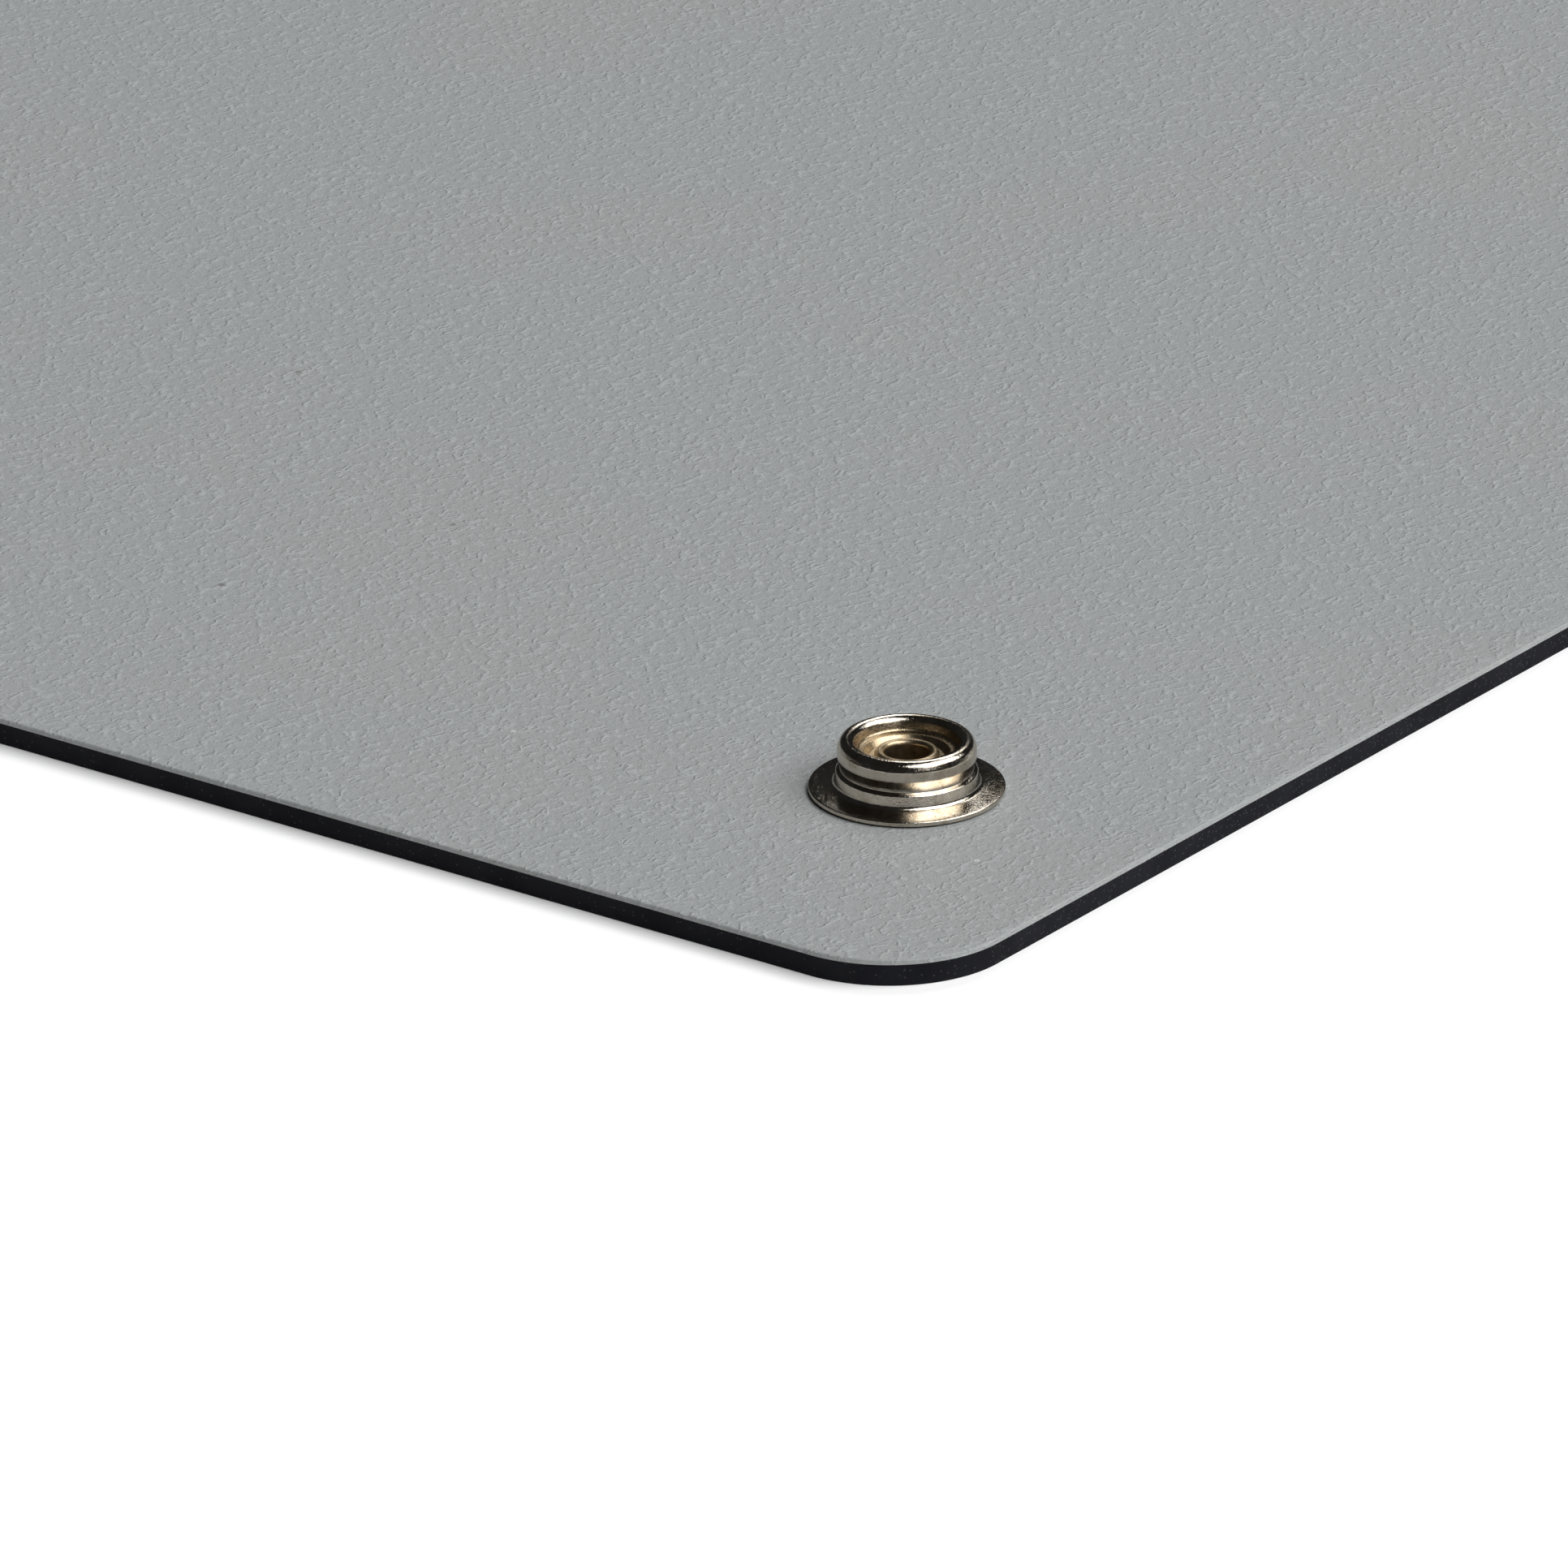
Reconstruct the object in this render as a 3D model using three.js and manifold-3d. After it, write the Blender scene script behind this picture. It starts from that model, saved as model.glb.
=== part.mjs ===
// Anti static bench mat: a black conductive rubber layer with a thinner grey
// dissipative layer bonded on it, rounded corners, and near each front corner a
// pressed metal snap stud that a tubular eyelet holds through both layers.
// Millimetres. +X runs along the long edge, +Y to the back and +Z up, and the
// origin is the centre of the underside.

import * as THREE from 'three';
import { mergeVertices } from 'three/addons/utils/BufferGeometryUtils.js';
import Module from 'manifold-3d';

// Mat
const matLength = 900;
const matWidth = 600;
const topLayerThickness = 0.4;
const baseLayerThickness = 1.6;
const cornerRadius = 9.5;

// Stud places, from the mat's edges to a stud's centre
const studFromSideEdge = 20.8;
const studFromFrontEdge = 27.5;

// Eyelet
const boreRadius = 1.65;
const barrelWall = 0.3;
const curlReach = 0.4;
const curlHeight = 0.58;
const eyeletHeadRadius = 6;
const eyeletHeadThickness = 0.4;
const eyeletMouthRounding = 0.35;

// Snap stud, pressed from one sheet; heights are above the mat
const sheetThickness = 0.42;
const headRadius = 5.02;
const headHeight = 4.1;
const headUndersideHeight = 2.67;
const beadRadius = 0.445;
const neckUndercut = 0.22;
const neckHeight = 1.72;
const collarTaper = 0.44;
const collarFootHeight = 0.8;
const collarFilletWidth = 0.66;
const flangeWidth = 1.86;
const flangeEdgeRounding = 0.12;
const recessFloorHeight = 2.6;
const recessStepHeight = 0.48;
const recessStepWidth = 0.35;
const recessSlopeHeight = 0.42;

// Clearances
const rubberClearance = 0.3;
const studHoleClearance = 0.12;
const curlClearance = 0.4;

// Fineness
const turnSegments = 36;
const curveSteps = 3;
const cornerSteps = 5;

// Sizes that follow from the ones above
const matThickness = baseLayerThickness + topLayerThickness;
const barrelRadius = boreRadius + barrelWall;
const curlOuterRadius = barrelRadius + curlReach;
const studHoleRadius = barrelRadius + studHoleClearance;
const rubberHoleRadius = barrelRadius + rubberClearance;
const headRecessRadius = eyeletHeadRadius + rubberClearance;
const recessFloorRadius = curlOuterRadius + curlClearance;
const neckRadius = headRadius - neckUndercut;
const collarRadius = neckRadius + collarTaper;
const flangeRadius = collarRadius + flangeWidth;

const wasm = await Module();
wasm.setup();

const greyRubber = new THREE.MeshStandardMaterial({ color: 0x9fa6a6, roughness: 0.72, metalness: 0 });
const blackRubber = new THREE.MeshStandardMaterial({ color: 0x1d1f22, roughness: 0.8, metalness: 0 });
const studNickel = new THREE.MeshStandardMaterial({ color: 0xb9b4aa, roughness: 0.28, metalness: 1 });
const eyeletNickel = new THREE.MeshStandardMaterial({ color: 0xb5a98f, roughness: 0.32, metalness: 1 });

// Closed solid and mesh geometry conversions
function toSolid(geometry) {
  const bare = geometry.clone();
  bare.deleteAttribute('normal');
  bare.deleteAttribute('uv');
  const merged = mergeVertices(bare);
  const vertProperties = new Float32Array(merged.attributes.position.array);
  const triVerts = new Uint32Array(merged.index.array);
  return new wasm.Manifold(new wasm.Mesh({ numProp: 3, vertProperties, triVerts }));
}

function toGeometry(solid) {
  const mesh = solid.getMesh();
  const geometry = new THREE.BufferGeometry();
  geometry.setAttribute('position', new THREE.BufferAttribute(new Float32Array(mesh.vertProperties), 3));
  geometry.setIndex(new THREE.BufferAttribute(new Uint32Array(mesh.triVerts), 1));
  geometry.computeVertexNormals();
  return geometry;
}

// Solid turned about +Z from a closed profile of radius and height
function turned(profile) {
  const geometry = new THREE.LatheGeometry(profile, turnSegments);
  geometry.rotateX(Math.PI / 2);
  return geometry;
}

// Rectangle with rounded corners, centred on the origin
function matOutline() {
  const x = matLength / 2 - cornerRadius;
  const y = matWidth / 2 - cornerRadius;
  const outline = new THREE.Shape();
  outline.absarc(x, -y, cornerRadius, -Math.PI / 2, 0);
  outline.absarc(x, y, cornerRadius, 0, Math.PI / 2);
  outline.absarc(-x, y, cornerRadius, Math.PI / 2, Math.PI);
  outline.absarc(-x, -y, cornerRadius, Math.PI, 1.5 * Math.PI);
  outline.closePath();
  return outline;
}

// Stud centres on the mat
const studX = matLength / 2 - studFromSideEdge;
const studY = -matWidth / 2 + studFromFrontEdge;
const studPlaces = {
  right: new THREE.Vector2(studX, studY),
  left: new THREE.Vector2(-studX, studY),
};

// Layer of the mat, with the given cutter taken out at each stud
function layer(thickness, cutter) {
  const slab = new THREE.ExtrudeGeometry(matOutline(), {
    depth: thickness,
    bevelEnabled: false,
    curveSegments: cornerSteps,
  });
  let solid = toSolid(slab);
  for (const place of Object.values(studPlaces)) {
    const cut = cutter.clone().translate(place.x, place.y, 0);
    solid = solid.subtract(toSolid(cut));
  }
  return toGeometry(solid);
}

// Round hole right through the grey layer
function topLayerCutter() {
  const profile = [
    new THREE.Vector2(0, -topLayerThickness),
    new THREE.Vector2(rubberHoleRadius, -topLayerThickness),
    new THREE.Vector2(rubberHoleRadius, 2 * topLayerThickness),
    new THREE.Vector2(0, 2 * topLayerThickness),
  ];
  return turned(profile);
}

// Hole through the black layer, widened at the underside for the eyelet's head
function baseLayerCutter() {
  const profile = [
    new THREE.Vector2(0, -eyeletHeadThickness),
    new THREE.Vector2(headRecessRadius, -eyeletHeadThickness),
    new THREE.Vector2(headRecessRadius, eyeletHeadThickness),
    new THREE.Vector2(rubberHoleRadius, eyeletHeadThickness),
    new THREE.Vector2(rubberHoleRadius, 2 * baseLayerThickness),
    new THREE.Vector2(0, 2 * baseLayerThickness),
  ];
  return turned(profile);
}

// Snap stud: flange, tapered collar, waisted neck, beaded head with a dished
// top, all one sheet and hollow underneath
function studProfile() {
  const lipRadius = headRadius - 2 * beadRadius;
  const beadCentreRadius = headRadius - beadRadius;
  const beadCentreHeight = headHeight - beadRadius;
  const recessEdgeRadius = recessFloorRadius + recessStepWidth;
  const recessEdgeHeight = recessFloorHeight + recessStepHeight;
  const filletEnd = collarRadius + collarFilletWidth;
  const flangeTopRadius = flangeRadius - flangeEdgeRounding;
  const collarInside = collarRadius - sheetThickness;
  const neckInside = neckRadius - sheetThickness;
  const headInside = headRadius - sheetThickness;
  const slopeTopHeight = recessEdgeHeight + recessSlopeHeight;
  const slopeUndersideHeight = slopeTopHeight - sheetThickness;
  const profile = new THREE.Path();
  profile.moveTo(collarInside, 0);
  profile.lineTo(flangeTopRadius, 0);
  profile.quadraticCurveTo(flangeRadius, 0, flangeRadius, flangeEdgeRounding);
  profile.lineTo(flangeRadius, sheetThickness - flangeEdgeRounding);
  profile.quadraticCurveTo(flangeRadius, sheetThickness, flangeTopRadius, sheetThickness);
  profile.lineTo(filletEnd, sheetThickness);
  profile.quadraticCurveTo(collarRadius, sheetThickness, collarRadius, collarFootHeight);
  profile.lineTo(neckRadius, neckHeight);
  profile.quadraticCurveTo(neckRadius, headUndersideHeight, headRadius, headUndersideHeight);
  profile.absarc(beadCentreRadius, beadCentreHeight, beadRadius, 0, Math.PI);
  profile.lineTo(lipRadius, slopeTopHeight);
  profile.lineTo(recessEdgeRadius, recessEdgeHeight);
  profile.quadraticCurveTo(recessFloorRadius, recessEdgeHeight, recessFloorRadius, recessFloorHeight);
  profile.lineTo(studHoleRadius, recessFloorHeight);
  profile.lineTo(studHoleRadius, recessFloorHeight - sheetThickness);
  profile.lineTo(recessFloorRadius + sheetThickness, recessFloorHeight - sheetThickness);
  profile.lineTo(recessEdgeRadius + sheetThickness, recessEdgeHeight - sheetThickness);
  profile.lineTo(headInside, slopeUndersideHeight);
  profile.lineTo(neckInside, neckHeight);
  profile.lineTo(collarInside, collarFootHeight);
  profile.closePath();
  return profile.getPoints(curveSteps);
}

// Tubular eyelet: flat head under the mat, barrel through the layers, and the
// end curled out over the floor of the stud's dished top
function eyeletProfile() {
  const curlRadius = (curlOuterRadius - boreRadius) / 2;
  const curlCentreRadius = boreRadius + curlRadius;
  const seatHeight = matThickness + recessFloorHeight;
  const curlCentreHeight = seatHeight + curlHeight - curlRadius;
  const seatAngle = Math.asin((seatHeight - curlCentreHeight) / curlRadius);
  const profile = new THREE.Path();
  profile.moveTo(boreRadius + eyeletMouthRounding, 0);
  profile.lineTo(eyeletHeadRadius, 0);
  profile.lineTo(eyeletHeadRadius, eyeletHeadThickness);
  profile.lineTo(barrelRadius, eyeletHeadThickness);
  profile.lineTo(barrelRadius, seatHeight);
  profile.absarc(curlCentreRadius, curlCentreHeight, curlRadius, seatAngle, Math.PI);
  profile.lineTo(boreRadius, eyeletMouthRounding);
  profile.quadraticCurveTo(boreRadius, 0, boreRadius + eyeletMouthRounding, 0);
  return profile.getPoints(curveSteps);
}

// Named mesh at its place
function piece(name, geometry, material, x, y, z) {
  const mesh = new THREE.Mesh(geometry, material);
  mesh.name = name;
  mesh.position.set(x, y, z);
  return mesh;
}

const baseLayer = layer(baseLayerThickness, baseLayerCutter());
const topLayer = layer(topLayerThickness, topLayerCutter());
const group = new THREE.Group();
group.add(piece('conductive_base_layer', baseLayer, blackRubber, 0, 0, 0));
group.add(piece('dissipative_top_layer', topLayer, greyRubber, 0, 0, baseLayerThickness));
for (const [side, { x, y }] of Object.entries(studPlaces)) {
  group.add(piece(`snap_stud_${side}`, turned(studProfile()), studNickel, x, y, matThickness));
  group.add(piece(`stud_eyelet_${side}`, turned(eyeletProfile()), eyeletNickel, x, y, 0));
}

export default group;
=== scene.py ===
import math

import bpy
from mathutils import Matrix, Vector, noise
from mathutils.geometry import tessellate_polygon

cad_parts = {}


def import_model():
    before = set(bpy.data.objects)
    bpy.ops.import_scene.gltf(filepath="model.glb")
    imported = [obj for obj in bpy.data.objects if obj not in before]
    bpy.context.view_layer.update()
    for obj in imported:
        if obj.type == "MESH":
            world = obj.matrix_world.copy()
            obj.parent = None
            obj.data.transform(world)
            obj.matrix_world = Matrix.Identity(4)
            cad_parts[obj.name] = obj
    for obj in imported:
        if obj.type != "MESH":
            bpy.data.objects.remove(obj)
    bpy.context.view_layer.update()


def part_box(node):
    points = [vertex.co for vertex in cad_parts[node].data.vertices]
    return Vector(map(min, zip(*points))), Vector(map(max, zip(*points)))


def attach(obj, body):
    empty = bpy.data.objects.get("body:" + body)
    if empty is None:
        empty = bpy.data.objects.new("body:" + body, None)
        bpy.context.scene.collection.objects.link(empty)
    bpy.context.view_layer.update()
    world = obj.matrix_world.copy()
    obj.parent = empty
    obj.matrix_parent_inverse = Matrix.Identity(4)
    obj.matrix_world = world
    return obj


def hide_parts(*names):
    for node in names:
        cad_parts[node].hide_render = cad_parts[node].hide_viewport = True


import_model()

# Anti static bench mat, seen close at its front right corner. Metres, in the
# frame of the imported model: +X along the long edge, +Y to the back, +Z up.

MM = 0.001
SIDES = ("right", "left")

# Camera, at the photograph's viewing angle, aimed at a point on the mat's top
CAMERA_AZIMUTH = math.radians(35.84)
CAMERA_ELEVATION = math.radians(23.0)
CAMERA_DISTANCE = 2.0
CAMERA_LENS = 640.2
SENSOR_WIDTH = 36.0
AIM_FROM_SIDE_EDGE = 28.6 * MM
AIM_FROM_FRONT_EDGE = 23.26 * MM

# Mat, from the frame
BASE_LOW, BASE_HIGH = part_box("conductive_base_layer")
TOP_LOW, TOP_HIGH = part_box("dissipative_top_layer")
HALF_LENGTH = TOP_HIGH.x
HALF_WIDTH = TOP_HIGH.y
CORNER_RADIUS = 9.5 * MM
HOLE_RADIUS = 2.25 * MM
HEAD_RECESS_RADIUS = 6.3 * MM
HEAD_RECESS_DEPTH = 0.4 * MM

# Fineness of the mat's outline and holes
EDGE_STEP = 0.6 * MM
HOLE_SEGMENTS = 48

# Uneven rim of the grey layer: waves along it, and how far they sink and draw in
TEAR_PITCH = 1.6 * MM
TEAR_SEED = 3.0
DIP_PITCH = 4.5 * MM
DIP_SEED = 7.0
EDGE_SINK = 0.02 * MM
TEAR_SINK = 0.05 * MM
DIP_SINK = 0.05 * MM
EDGE_DRAW = 0.015 * MM
TEAR_DRAW = 0.03 * MM
SHOULDER_DROP = 0.03 * MM
SHOULDER_SHARE = 0.5
LIP_INSET = 0.06 * MM
LIP_SHARE = 0.55
CROWN_INSET = 0.55 * MM
CROWN_WAVE = 0.3 * MM

# Ragged cut edge of the black layer
RAGGED_PITCH = 2.2 * MM
RAGGED_SEED = 11.0
RAGGED_REACH = 0.02 * MM
TOE_INSET = 0.05 * MM
HEEL_HEIGHT = 0.06 * MM
EDGE_INSET = 0.02 * MM
SEAM_INSET = 0.01 * MM

# Snap stud, in millimetres above the mat's top, as (radius, height, rounding); it
# runs out along the underside, up the outside, over the rim and down the inside
STUD_OUTSIDE = [
    (4.82, 0.00, 0.0),
    (6.45, 0.00, 0.08),
    (6.62, 0.12, 0.08),
    (7.10, 0.12, 0.10),
    (7.10, 0.47, 0.09),
    (6.20, 0.54, 0.50),
    (5.40, 0.64, 0.16),
    (5.25, 0.84, 0.10),
    (5.12, 1.66, 0.08),
    (4.80, 1.78, 0.05),
    (4.83, 2.14, 0.25),
    (5.03, 2.72, 0.12),
    (5.03, 3.40, 0.05),
]
RIM_CENTRE = (4.35, 3.50)
RIM_RADIUS = 0.6
RIM_START = math.radians(22)
RIM_END = math.radians(160)
STUD_INSIDE = [
    (3.62, 3.16, 0.16),
    (3.42, 3.07, 0.12),
    (3.10, 3.05, 0.06),
    (2.76, 2.60, 0.10),
    (2.07, 2.60, 0.03),
    (2.07, 2.18, 0.03),
    (3.17, 2.18, 0.20),
    (3.52, 2.66, 0.20),
    (4.58, 3.08, 0.05),
    (4.40, 1.72, 0.60),
    (4.82, 0.80, 0.40),
]

# Eyelet, in millimetres above the mat's underside: head, barrel, curl and bore
EYELET_OUTSIDE = [
    (2.00, 0.00, 0.0),
    (6.00, 0.00, 0.10),
    (6.00, 0.40, 0.10),
    (1.95, 0.40, 0.05),
    (1.95, 4.60, 0.0),
]
CURL_CENTRE = (2.0, 4.83)
CURL_RADIUS = 0.35
CURL_START = -0.71
EYELET_MOUTH = [(1.65, 0.35, 0.25)]

# Fineness of the turned pieces
ARC_STEPS = 22
ROUNDING_STEPS = 6
TURN_SEGMENTS = 160

# Grey rubber: emboss of short ridges, as noise scales per metre and height shares
EMBOSS_ANGLE = math.radians(70)
EMBOSS_STRETCH = (0.5, 1.0, 1.0)
EMBOSS_DEPTH = 0.08 * MM
WARP_SCALE = 600.0
WARP_REACH = 1.4 * MM
RIDGE_CELLS = 1350.0
RIDGE_WIDTH = 0.22
RIDGE_SHARE = 0.75
PATCH_SCALE = 1100.0
SWELL_SCALE = 1500.0
SWELL_SHARE = 1.2
FINE_SCALE = 5600.0
FINE_SHARE = 0.55
GREY_COOL = (0.275, 0.289, 0.288, 1.0)
GREY_WARM = (0.278, 0.289, 0.287, 1.0)
# Painted highlight along the emboss ridges: a lighter grey laid over them, at most by this share
GREY_RIDGE_HIGHLIGHT = (0.42, 0.44, 0.44, 1.0)
RIDGE_HIGHLIGHT_SHARE = 0.27
GREY_SPECKS = 150.0
GREY_DARK_SPECK = (0.09, 0.085, 0.08, 1.0)
GREY_LIGHT_SPECK = (0.62, 0.63, 0.62, 1.0)

# Black rubber
BLACK_DEEP = (0.004, 0.0042, 0.0065, 1.0)
BLACK_WORN = (0.008, 0.0083, 0.0115, 1.0)
BLACK_GLINT = (0.10, 0.10, 0.112, 1.0)
BLACK_SPECKS = 3600.0
BLACK_GRAIN_SCALE = 3200.0
BLACK_SWELL_SCALE = 700.0
BLACK_GRAIN_DEPTH = 0.05 * MM

# Nickel plate
STUD_TINT = (0.59, 0.535, 0.455, 1.0)
STUD_STAIN = (0.43, 0.372, 0.29, 1.0)
STUD_ROUGHNESS = 0.09
EYELET_TINT = (0.62, 0.56, 0.47, 1.0)
EYELET_STAIN = (0.44, 0.37, 0.27, 1.0)
EYELET_ROUGHNESS = 0.14
DISH_RADIUS = 3.95 * MM
DISH_FADE = 0.25 * MM
DISH_GOLD = (0.30, 0.225, 0.13, 1.0)
DISH_SHARE = 0.85
DISH_ROUGHER = 0.18
GRAIN_SCALE = 8500.0
GRAIN_DEPTH = 0.016 * MM
WAVE_SCALE = 1700.0
WAVE_SHARE = 0.8
STAIN_SCALE = 520.0
PIT_SCALE = 3600.0
PIT_DARK = (0.05, 0.04, 0.03, 1.0)
PIT_SHARE = 0.75

# Studio
FLOOR_HALF = 40.0
FLOOR_DROP = 0.02 * MM
WORLD_COLOUR = (0.95, 0.97, 1.0, 1.0)
WORLD_STRENGTH = 0.02


def stud_centre(side):
    """Middle of a stud in plan, and the height of the mat's top, where it sits."""
    low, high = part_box(f"snap_stud_{side}")
    return Vector(((low.x + high.x) / 2, (low.y + high.y) / 2, low.z))


# Node helpers


class Nodes:
    """Short way to build a material's node tree."""

    def __init__(self, name):
        self.material = bpy.data.materials.new(name)
        self.material.use_nodes = True
        self.tree = self.material.node_tree
        self.shader = self.tree.nodes["Principled BSDF"]
        self.place = self.add("ShaderNodeTexCoord").outputs["Object"]

    def put(self, socket, value):
        """Link a socket to another's output, or give it a plain value."""
        if isinstance(value, bpy.types.NodeSocket):
            self.tree.links.new(value, socket)
        else:
            socket.default_value = value

    def add(self, kind, inputs=None, **settings):
        node = self.tree.nodes.new(kind)
        for key, value in settings.items():
            setattr(node, key, value)
        for key, value in (inputs or {}).items():
            self.put(node.inputs[key], value)
        return node

    def set(self, **inputs):
        """Set the shader's inputs, with an underscore for each space in a name."""
        for key, value in inputs.items():
            self.put(self.shader.inputs[key.replace("_", " ")], value)

    def math(self, operation, a, b=0.0, c=0.0):
        return self.add("ShaderNodeMath", {0: a, 1: b, 2: c}, operation=operation).outputs[0]

    def vector(self, operation, a, b):
        """Vector arithmetic; b is a number when the operation is SCALE."""
        second = "Scale" if operation == "SCALE" else 1
        return self.add("ShaderNodeVectorMath", {0: a, second: b}, operation=operation).outputs[0]

    def ramp(self, value, low, high, to_low=0.0, to_high=1.0):
        """Smooth step of value, from low and high to to_low and to_high."""
        inputs = {0: value, 1: low, 2: high, 3: to_low, 4: to_high}
        return self.add("ShaderNodeMapRange", inputs, interpolation_type="SMOOTHSTEP").outputs[0]

    def noise(self, scale, detail=2.0, roughness=0.5, output="Fac"):
        inputs = {"Vector": self.place, "Scale": scale, "Detail": detail, "Roughness": roughness}
        return self.add("ShaderNodeTexNoise", inputs).outputs[output]

    def cloud(self, scale, detail, to_low=0.0, to_high=1.0):
        """Soft patches from to_low to to_high."""
        return self.ramp(self.noise(scale, detail), 0.3, 0.7, to_low, to_high)

    def specks(self, scale, core, fade):
        """Round specks, solid to core and gone at fade, and random values for each one."""
        cells = self.add("ShaderNodeTexVoronoi", {"Vector": self.place, "Scale": scale})
        near = self.ramp(cells.outputs["Distance"], core, fade, 1.0, 0.0)
        chance = self.add("ShaderNodeSeparateColor", {0: cells.outputs["Color"]})
        return near, chance.outputs

    def rare(self, near, chance, above):
        """The specks whose random value is above a limit."""
        return self.math("MULTIPLY", near, self.math("GREATER_THAN", chance, above))

    def mix(self, factor, a, b):
        inputs = {"Factor": factor, 6: a, 7: b}
        return self.add("ShaderNodeMix", inputs, data_type="RGBA").outputs[2]

    def blend(self, mask, share, a, b):
        """Colour a, with b over it where the mask is, at most by share."""
        return self.mix(self.math("MULTIPLY", mask, share), a, b)

    def bump(self, height, distance, strength=1.0):
        inputs = {"Height": height, "Distance": distance, "Strength": strength}
        return self.add("ShaderNodeBump", inputs).outputs["Normal"]


# Materials


def emboss_ridges(n):
    """Thin curved lines between warped cells, present only in patches."""
    warp = n.noise(WARP_SCALE, output="Color")
    offset = n.vector("SUBTRACT", warp, (0.5, 0.5, 0.5))
    warped = n.vector("ADD", n.place, n.vector("SCALE", offset, WARP_REACH))
    rotation = (0.0, 0.0, -EMBOSS_ANGLE)
    turned_place = n.add("ShaderNodeMapping", {0: warped, 2: rotation}).outputs[0]
    cells = n.add(
        "ShaderNodeTexVoronoi",
        {"Vector": n.vector("MULTIPLY", turned_place, EMBOSS_STRETCH), "Scale": RIDGE_CELLS},
        feature="DISTANCE_TO_EDGE",
    )
    line = n.ramp(cells.outputs["Distance"], 0.0, RIDGE_WIDTH, 1.0, 0.0)
    patch = n.ramp(n.noise(PATCH_SCALE), 0.44, 0.60)
    return n.math("MULTIPLY", line, patch)


def grey_rubber():
    """Matt grey rubber with a fine emboss, faint clouds, a painted highlight along the ridges and a
    few specks.
    """
    n = Nodes("grey_rubber")
    ridges = emboss_ridges(n)
    swell = n.noise(SWELL_SCALE, roughness=0.6)
    fine = n.noise(FINE_SCALE, roughness=0.65)
    height = n.math("MULTIPLY_ADD", ridges, RIDGE_SHARE, n.math("MULTIPLY", swell, SWELL_SHARE))
    height = n.math("MULTIPLY_ADD", fine, FINE_SHARE, height)
    colour = n.mix(n.cloud(30.0, 3.0), GREY_COOL, GREY_WARM)
    near, chance = n.specks(GREY_SPECKS, 0.03, 0.055)
    colour = n.blend(n.rare(near, chance[0], 0.93), 0.7, colour, GREY_DARK_SPECK)
    colour = n.blend(n.rare(near, chance[1], 0.965), 0.6, colour, GREY_LIGHT_SPECK)
    n.set(
        # Ridges lightened in colour: a painted highlight, not wear
        Base_Color=n.blend(ridges, RIDGE_HIGHLIGHT_SHARE, colour, GREY_RIDGE_HIGHLIGHT),
        Roughness=n.cloud(1300.0, 2.0, 0.56, 0.68),
        Specular_IOR_Level=0.35,
        Normal=n.bump(height, EMBOSS_DEPTH),
    )
    return n.material


def black_rubber():
    """Carbon-filled black rubber, with a grainy cut that glints in places."""
    n = Nodes("black_rubber")
    grain = n.noise(BLACK_GRAIN_SCALE, 3.0, 0.65)
    height = n.math("MULTIPLY_ADD", n.noise(BLACK_SWELL_SCALE), 0.5, grain)
    colour = n.mix(n.cloud(240.0, 2.0), BLACK_DEEP, BLACK_WORN)
    near, chance = n.specks(BLACK_SPECKS, 0.12, 0.34)
    n.set(
        Base_Color=n.blend(n.rare(near, chance[0], 0.8), 0.3, colour, BLACK_GLINT),
        Roughness=0.7,
        Specular_IOR_Level=0.1,
        Normal=n.bump(height, BLACK_GRAIN_DEPTH, 0.8),
    )
    return n.material


def dish_mask(n):
    """One inside the dished top of either stud, and nothing outside it."""
    centre = stud_centre("right")
    place = n.add("ShaderNodeSeparateXYZ", {0: n.place}).outputs
    dx = n.math("SUBTRACT", n.math("ABSOLUTE", place[0]), centre.x)
    dy = n.math("SUBTRACT", place[1], centre.y)
    square = n.math("ADD", n.math("MULTIPLY", dx, dx), n.math("MULTIPLY", dy, dy))
    radius = n.math("SQRT", square)
    return n.ramp(radius, DISH_RADIUS - DISH_FADE, DISH_RADIUS, 1.0, 0.0)


def nickel(name, tint, stain, roughness):
    """Nickel plate on pressed metal: grainy and pitted, golden inside the dished top."""
    n = Nodes(name)
    inside = dish_mask(n)
    grain = n.noise(GRAIN_SCALE, roughness=0.7)
    height = n.math("MULTIPLY_ADD", n.noise(WAVE_SCALE), WAVE_SHARE, grain)
    stained = n.ramp(n.noise(STAIN_SCALE, 3.0, 0.6), 0.42, 0.66)
    colour = n.mix(stained, tint, stain)
    colour = n.blend(inside, DISH_SHARE, colour, DISH_GOLD)
    pits = n.ramp(n.noise(PIT_SCALE, roughness=0.7), 0.62, 0.74)
    rough = n.cloud(1900.0, 3.0, roughness - 0.03, roughness + 0.05)
    n.set(
        Base_Color=n.blend(pits, PIT_SHARE, colour, PIT_DARK),
        Metallic=1.0,
        Roughness=n.math("MULTIPLY_ADD", inside, DISH_ROUGHER, rough),
        Normal=n.bump(height, GRAIN_DEPTH),
    )
    return n.material


def floor_white():
    n = Nodes("floor_white")
    tone = n.cloud(3.0, 2.0, 0.90, 0.92)
    colour = n.add("ShaderNodeCombineColor", {0: tone, 1: tone, 2: tone}).outputs[0]
    n.set(Base_Color=colour, Roughness=0.85, Specular_IOR_Level=0.1)
    return n.material


# Meshes


def mesh_object(name, vertices, faces, material, smooth=True):
    mesh = bpy.data.meshes.new(name)
    mesh.from_pydata([tuple(v) for v in vertices], [], faces)
    mesh.validate()
    mesh.materials.append(material)
    mesh.polygons.foreach_set("use_smooth", [smooth] * len(mesh.polygons))
    obj = bpy.data.objects.new(name, mesh)
    bpy.context.scene.collection.objects.link(obj)
    return obj


# Turned pieces


def arc(centre, radius, start, end):
    """Arc from start to end as outline corners without rounding."""
    corners = []
    for k in range(ARC_STEPS + 1):
        angle = start + (end - start) * k / ARC_STEPS
        x = centre[0] + radius * math.cos(angle)
        z = centre[1] + radius * math.sin(angle)
        corners.append((x, z, 0.0))
    return corners


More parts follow.
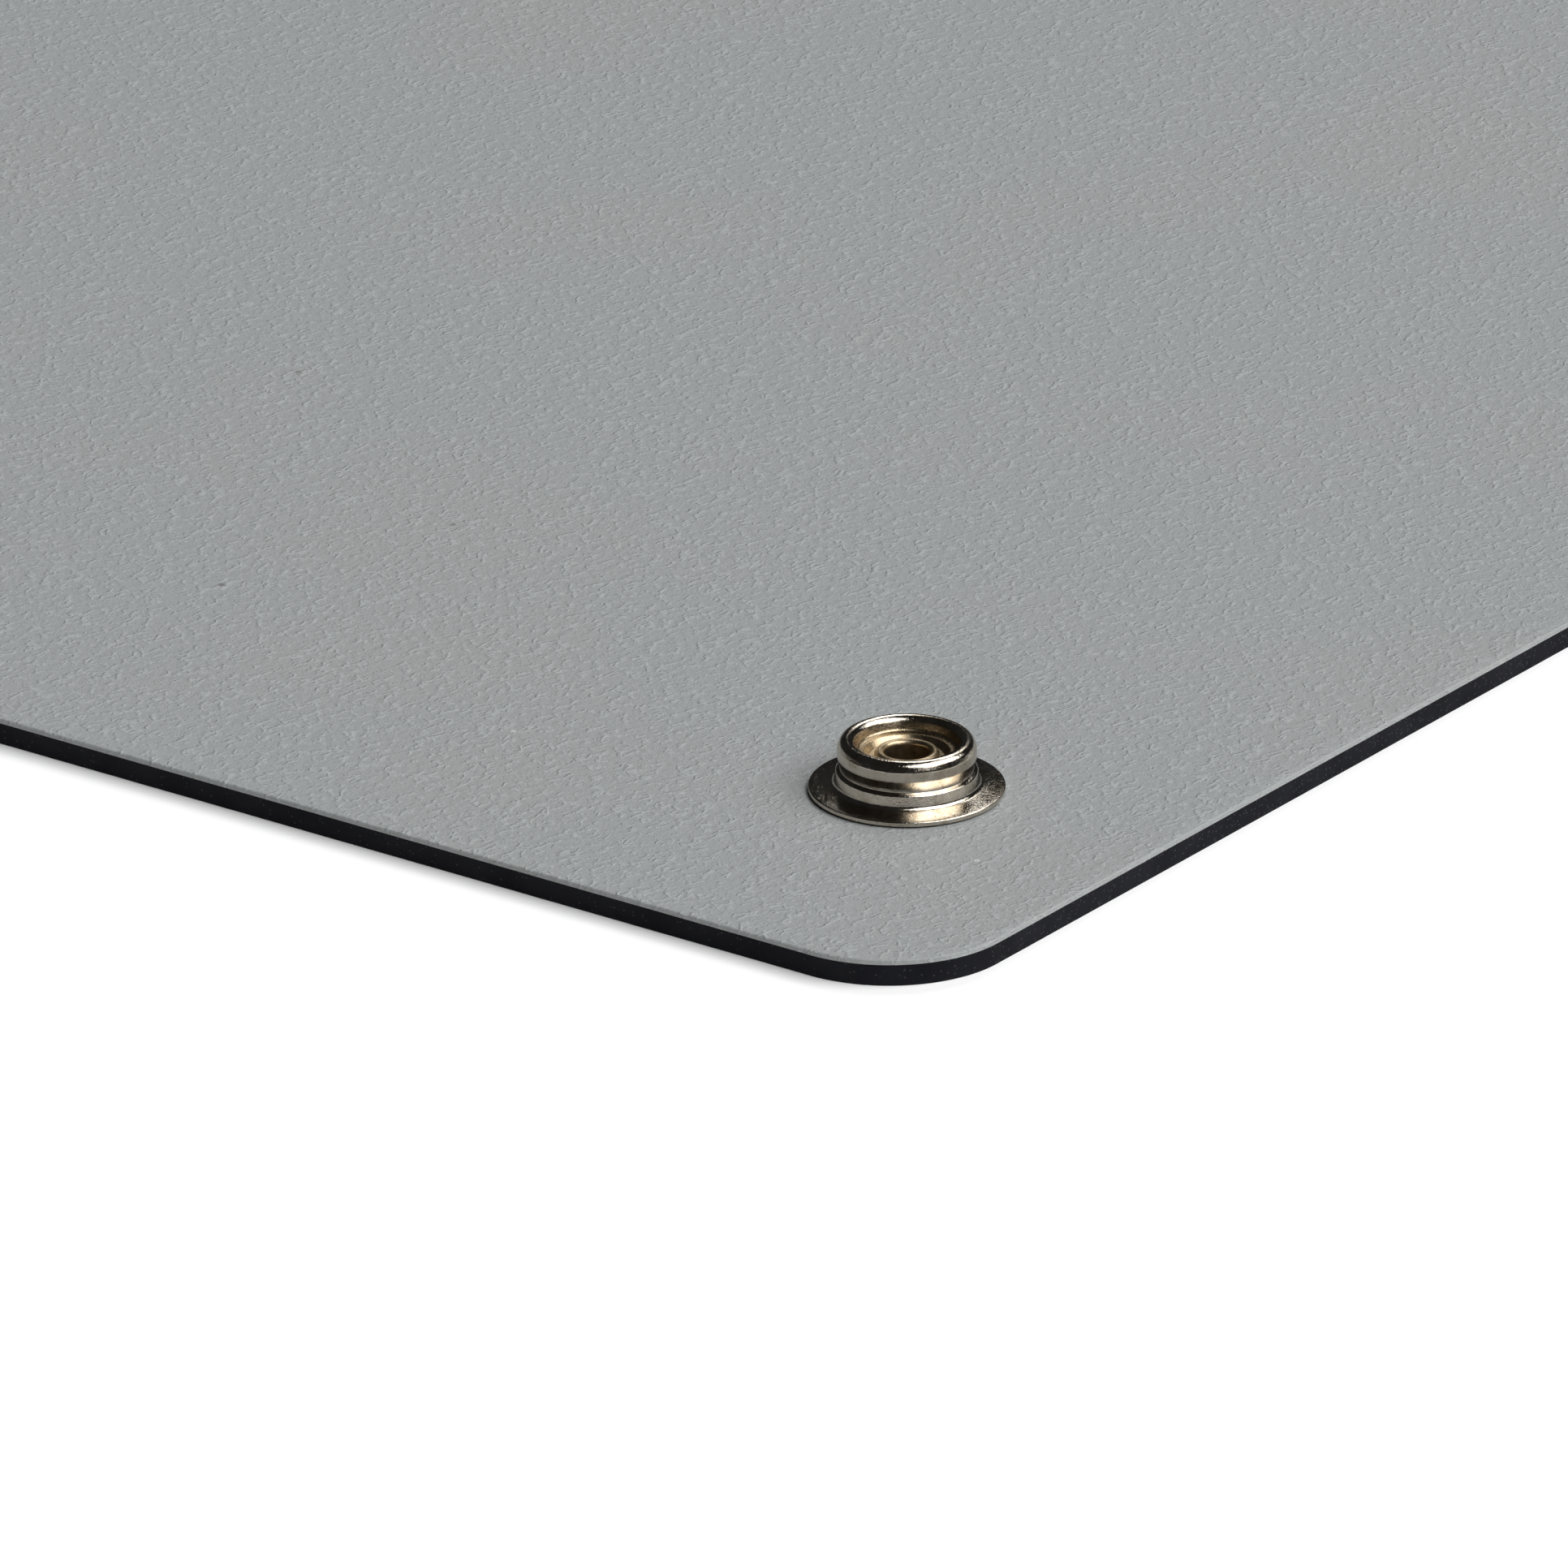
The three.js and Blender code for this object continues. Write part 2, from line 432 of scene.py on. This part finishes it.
def rounded(corners):
    """Points of a closed outline of (x, z, rounding) corners, each rounded by a curve."""
    outline = []
    count = len(corners)
    for i, (x, z, rounding) in enumerate(corners):
        here = Vector((x, z))
        if rounding <= 0:
            outline.append(here)
            continue
        before = Vector(corners[i - 1][:2]) - here
        after = Vector(corners[(i + 1) % count][:2]) - here
        start = here + before.normalized() * min(rounding, before.length * 0.49)
        end = here + after.normalized() * min(rounding, after.length * 0.49)
        for k in range(ROUNDING_STEPS + 1):
            t = k / ROUNDING_STEPS
            outline.append(start * (1 - t) ** 2 + here * (2 * t * (1 - t)) + end * t ** 2)
    return outline


def turned(name, corners, centre, material):
    """Closed outline of (radius, height, rounding) turned about the vertical through centre."""
    outline = [point * MM for point in rounded(corners)]
    count = len(outline)
    vertices = []
    faces = []
    for s in range(TURN_SEGMENTS):
        angle = 2 * math.pi * s / TURN_SEGMENTS
        for point in outline:
            vertices.append((
                centre.x + point.x * math.cos(angle),
                centre.y + point.x * math.sin(angle),
                centre.z + point.y,
            ))
        a = s * count
        b = ((s + 1) % TURN_SEGMENTS) * count
        for i in range(count):
            j = (i + 1) % count
            faces.append((a + i, b + i, b + j, a + j))
    return mesh_object(name, vertices, faces, material)


def snap_stud(side, material):
    rim = arc(RIM_CENTRE, RIM_RADIUS, RIM_START, RIM_END)
    corners = STUD_OUTSIDE + rim + STUD_INSIDE
    return turned(f"stud_{side}", corners, stud_centre(side), material)


def eyelet(side, material):
    seat = stud_centre(side)
    foot = Vector((seat.x, seat.y, BASE_LOW.z))
    curl = arc(CURL_CENTRE, CURL_RADIUS, CURL_START, math.pi)
    corners = EYELET_OUTSIDE + curl + EYELET_MOUTH
    return turned(f"eyelet_{side}", corners, foot, material)


# Mat layers


def mat_rim():
    """Points round the mat's outline with their outward directions, counter-clockwise."""
    rim = []
    cx = HALF_LENGTH - CORNER_RADIUS
    cy = HALF_WIDTH - CORNER_RADIUS
    corners = ((cx, cy, 0.0), (-cx, cy, 0.5), (-cx, -cy, 1.0), (cx, -cy, 1.5))
    arc_steps = round(CORNER_RADIUS * math.pi / 2 / EDGE_STEP)
    for i, (x, y, turn) in enumerate(corners):
        for k in range(arc_steps + 1):
            angle = (turn + 0.5 * k / arc_steps) * math.pi
            out = Vector((math.cos(angle), math.sin(angle)))
            rim.append((Vector((x, y)) + out * CORNER_RADIUS, out))
        nx, ny, next_turn = corners[(i + 1) % 4]
        next_angle = next_turn * math.pi
        out = Vector((round(math.cos(next_angle)), round(math.sin(next_angle))))
        start = rim[-1][0]
        end = Vector((nx, ny)) + out * CORNER_RADIUS
        steps = round((end - start).length / EDGE_STEP)
        for k in range(1, steps):
            rim.append((start.lerp(end, k / steps), out))
    return rim


def hole_ring(centre, radius):
    ring = []
    for k in range(HOLE_SEGMENTS):
        angle = 2 * math.pi * k / HOLE_SEGMENTS
        x = centre.x + radius * math.cos(angle)
        y = centre.y + radius * math.sin(angle)
        ring.append(Vector((x, y)))
    return ring


def ring_at(flat_ring, z):
    return [(p.x, p.y, z) for p in flat_ring]


def wobble(point, pitch, seed):
    """Even noise from -1 to 1 along the outline, with waves about pitch long."""
    return noise.noise(Vector((point.x / pitch, point.y / pitch, seed)))


def slab(name, rings, holes_top, holes_bottom, walls, material):
    """Closed slab: rings of 3-D points from the bottom edge up and in, flat caps
    pierced by holes, and walls that join the holes of the two caps."""
    vertices = []
    faces = []

    def add(points):
        start = len(vertices)
        vertices.extend(points)
        return list(range(start, len(vertices)))

    def bridge(low, high):
        for i in range(len(low)):
            j = (i + 1) % len(low)
            faces.append((low[i], low[j], high[j], high[i]))

    levels = [add(ring) for ring in rings]
    for low, high in zip(levels, levels[1:]):
        bridge(low, high)
    top_holes = [add(ring) for ring in holes_top]
    bottom_holes = [add(ring) for ring in holes_bottom]
    for outer, holes, up in ((levels[-1], top_holes, True), (levels[0], bottom_holes, False)):
        loops = [outer] + holes
        order = [index for loop in loops for index in loop]
        flat = [[Vector((vertices[i][0], vertices[i][1], 0.0)) for i in loop] for loop in loops]
        for triangle in tessellate_polygon(flat):
            a, b, c = (order[k] for k in triangle)
            pa, pb, pc = (Vector(vertices[i]) for i in (a, b, c))
            faces_up = (pb - pa).cross(pc - pa).z > 0
            faces.append((a, b, c) if faces_up == up else (a, c, b))
    for top, bottom, steps in zip(top_holes, bottom_holes, walls):
        chain = [bottom] + [add(ring) for ring in steps] + [top]
        for low, high in zip(chain, chain[1:]):
            bridge(high, low)
    return mesh_object(name, vertices, faces, material, smooth=False)


def grey_layer(material, rim):
    """Grey sheet whose top edge is rounded, torn in small waves and dips in long ones."""
    low, high = TOP_LOW.z, TOP_HIGH.z
    foot, shoulder, lip, crown = [], [], [], []
    for point, out in rim:
        tear = 0.5 + 0.5 * wobble(point, TEAR_PITCH, TEAR_SEED)
        dip = 0.5 + 0.5 * wobble(point, DIP_PITCH, DIP_SEED)
        sink = EDGE_SINK + TEAR_SINK * tear + DIP_SINK * dip
        draw = EDGE_DRAW + TEAR_DRAW * tear
        foot.append((point.x, point.y, low))
        edge = point - out * draw * SHOULDER_SHARE
        shoulder.append((edge.x, edge.y, high - sink - SHOULDER_DROP))
        edge = point - out * (draw + LIP_INSET)
        lip.append((edge.x, edge.y, high - sink * LIP_SHARE))
        edge = point - out * (CROWN_INSET + CROWN_WAVE * dip)
        crown.append((edge.x, edge.y, high))
    holes = [hole_ring(stud_centre(side), HOLE_RADIUS) for side in SIDES]
    tops = [ring_at(ring, high) for ring in holes]
    bottoms = [ring_at(ring, low) for ring in holes]
    return slab("grey_face", [foot, shoulder, lip, crown], tops, bottoms, [[], []], material)


def black_layer(material, rim):
    """Black sheet with a ragged cut edge, and a recess under each stud for the eyelet's head."""
    low, high = BASE_LOW.z, BASE_HIGH.z
    toe, heel, waist, seam = [], [], [], []
    for point, out in rim:
        ragged = wobble(point, RAGGED_PITCH, RAGGED_SEED) * RAGGED_REACH
        edge = point - out * TOE_INSET
        toe.append((edge.x, edge.y, low))
        edge = point - out * (EDGE_INSET + ragged)
        heel.append((edge.x, edge.y, low + HEEL_HEIGHT))
        edge = point - out * (EDGE_INSET - ragged)
        waist.append((edge.x, edge.y, (low + high) / 2))
        edge = point - out * SEAM_INSET
        seam.append((edge.x, edge.y, high))
    tops, bottoms, walls = [], [], []
    recess_top = low + HEAD_RECESS_DEPTH
    for side in SIDES:
        centre = stud_centre(side)
        narrow = hole_ring(centre, HOLE_RADIUS)
        wide = hole_ring(centre, HEAD_RECESS_RADIUS)
        tops.append(ring_at(narrow, high))
        bottoms.append(ring_at(wide, low))
        walls.append([ring_at(wide, recess_top), ring_at(narrow, recess_top)])
    return slab("black_base", [toe, heel, waist, seam], tops, bottoms, walls, material)


# Build the pieces


def dress():
    rim = mat_rim()
    grey_piece = grey_layer(grey_rubber(), rim)
    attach(grey_piece, "root")
    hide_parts("dissipative_top_layer")
    black_piece = black_layer(black_rubber(), rim)
    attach(black_piece, "root")
    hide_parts("conductive_base_layer")
    stud_metal = nickel("stud_nickel", STUD_TINT, STUD_STAIN, STUD_ROUGHNESS)
    eyelet_metal = nickel("eyelet_nickel", EYELET_TINT, EYELET_STAIN, EYELET_ROUGHNESS)
    for side in SIDES:
        stud_piece = snap_stud(side, stud_metal)
        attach(stud_piece, "root")
        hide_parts(f"snap_stud_{side}")
        eyelet_piece = eyelet(side, eyelet_metal)
        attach(eyelet_piece, "root")
        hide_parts(f"stud_eyelet_{side}")


# Camera, floor and light


def camera():
    aim = Vector((
        HALF_LENGTH - AIM_FROM_SIDE_EDGE,
        -HALF_WIDTH + AIM_FROM_FRONT_EDGE,
        TOP_HIGH.z,
    ))
    back = Vector((
        math.sin(CAMERA_AZIMUTH) * math.cos(CAMERA_ELEVATION),
        -math.cos(CAMERA_AZIMUTH) * math.cos(CAMERA_ELEVATION),
        math.sin(CAMERA_ELEVATION),
    ))
    data = bpy.data.cameras.new("camera")
    data.sensor_width = SENSOR_WIDTH
    data.lens = CAMERA_LENS
    data.clip_start = 0.05
    data.clip_end = 100.0
    obj = bpy.data.objects.new("camera", data)
    obj.location = aim + back * CAMERA_DISTANCE
    obj.rotation_mode = "QUATERNION"
    obj.rotation_quaternion = (-back).to_track_quat("-Z", "Y")
    bpy.context.scene.collection.objects.link(obj)
    bpy.context.scene.camera = obj
    return aim


def floor():
    corners = [(x * FLOOR_HALF, y * FLOOR_HALF, 0.0) for x, y in ((-1, -1), (1, -1), (1, 1), (-1, 1))]
    obj = mesh_object("floor", corners, [(0, 1, 2, 3)], floor_white(), smooth=False)
    obj.location.z = -FLOOR_DROP


def studio_direction(right, away, up):
    """Unit vector from directions to the camera's right, away from it and up."""
    right_axis = Vector((math.cos(CAMERA_AZIMUTH), math.sin(CAMERA_AZIMUTH), 0.0))
    away_axis = Vector((-math.sin(CAMERA_AZIMUTH), math.cos(CAMERA_AZIMUTH), 0.0))
    return (right_axis * right + away_axis * away + Vector((0, 0, up))).normalized()


def softbox(name, aim, direction, distance, width, height, power):
    """Rectangular light that faces aim from a distance, unseen by the camera."""
    data = bpy.data.lights.new(name, "AREA")
    data.shape = "RECTANGLE"
    data.size = width
    data.size_y = height
    data.energy = power
    obj = bpy.data.objects.new(name, data)
    obj.location = aim + direction * distance
    obj.rotation_mode = "QUATERNION"
    obj.rotation_quaternion = (-direction).to_track_quat("-Z", "Y")
    obj.visible_camera = False
    bpy.context.scene.collection.objects.link(obj)


def world():
    studio = bpy.data.worlds.new("studio")
    studio.use_nodes = True
    background = studio.node_tree.nodes["Background"]
    background.inputs["Color"].default_value = WORLD_COLOUR
    background.inputs["Strength"].default_value = WORLD_STRENGTH
    bpy.context.scene.world = studio


aim_point = camera()
floor()
world()
key_direction = studio_direction(right=0.587, away=-0.261, up=0.766)
softbox("key", aim_point, key_direction, distance=4.5, width=6.0, height=3.5, power=357.0)
back_direction = studio_direction(right=0.15, away=0.685, up=0.715)
softbox("back", aim_point, back_direction, distance=7.5, width=2.8, height=2.5, power=115.0)
bpy.context.scene.view_settings.view_transform = "Standard"
bpy.context.scene.view_settings.look = "None"
dress()
